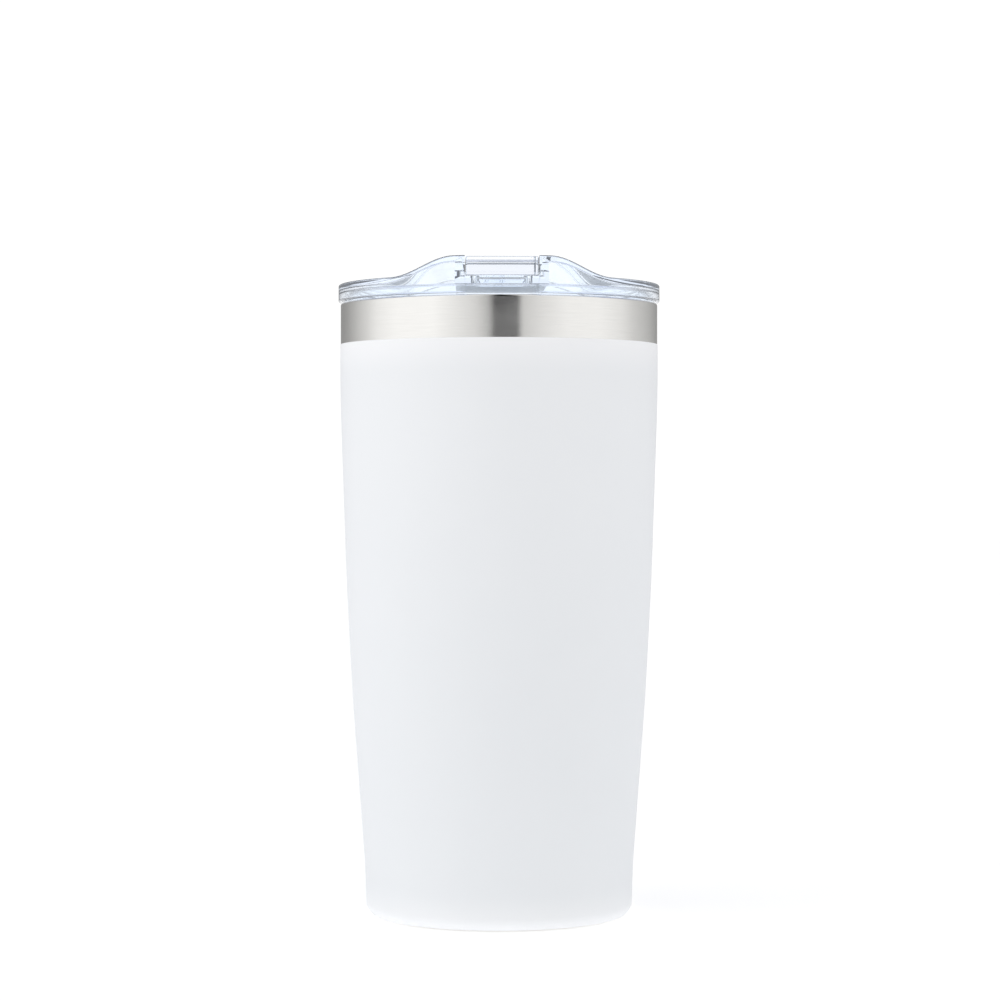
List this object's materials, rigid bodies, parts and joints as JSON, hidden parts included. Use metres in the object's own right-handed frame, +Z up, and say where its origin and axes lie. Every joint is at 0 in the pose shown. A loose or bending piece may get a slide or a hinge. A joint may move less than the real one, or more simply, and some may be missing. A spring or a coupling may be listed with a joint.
{
  "type": "insulated tumbler with lid",
  "caption": "Double-walled steel tumbler with a white powder-coated flank, a bare steel rim band and a clear press-in lid with a sliding drink-hole cover.",
  "frame": {"origin": "on the surface that the tumbler stands on, under the axis of the cup", "axes": "+Z up along the cup's axis; the drinking side of the lid faces -Y, and the slider opens towards +Y"},
  "size_m": [0.0882, 0.0872, 0.178],
  "materials": {
    "brushed_steel": "fine brushing round the rim band",
    "white_powder_coat": "smooth satin white powder coat",
    "liner_steel": "electropolished drawn steel",
    "copper_foil": "bright thin copper foil",
    "getter_alloy": "sintered grey pellet",
    "base_steel": "satin steel, turned in circles",
    "brazing_glass": "dark fused glass bead",
    "clear_plastic": "polished clear copolyester with a slight blue tint",
    "clear_silicone": "translucent satin silicone",
    "slider_plastic": "polished clear copolyester"
  },
  "bodies": {
    "cup": {"outer_shell": "brushed_steel", "powder_coat": "white_powder_coat", "inner_liner": "liner_steel", "radiation_foil": "copper_foil", "getter_pellet": "getter_alloy", "getter_clip": "liner_steel", "base_cap": "base_steel", "vacuum_seal": "brazing_glass", "base_cover": "base_steel"},
    "lid": {"lid_body": "clear_plastic", "lid_gasket": "clear_silicone"},
    "slider": {"slider": "slider_plastic"}
  },
  "joints": [
    {"name": "lid_lift", "type": "slide", "parent": "cup", "child": "lid", "axis": [0, 0, 1], "range_m": [0, 0.03]},
    {"name": "slider_open", "type": "slide", "parent": "lid", "child": "slider", "axis": [0, 1, 0], "range_m": [0, 0.018]}
  ]
}
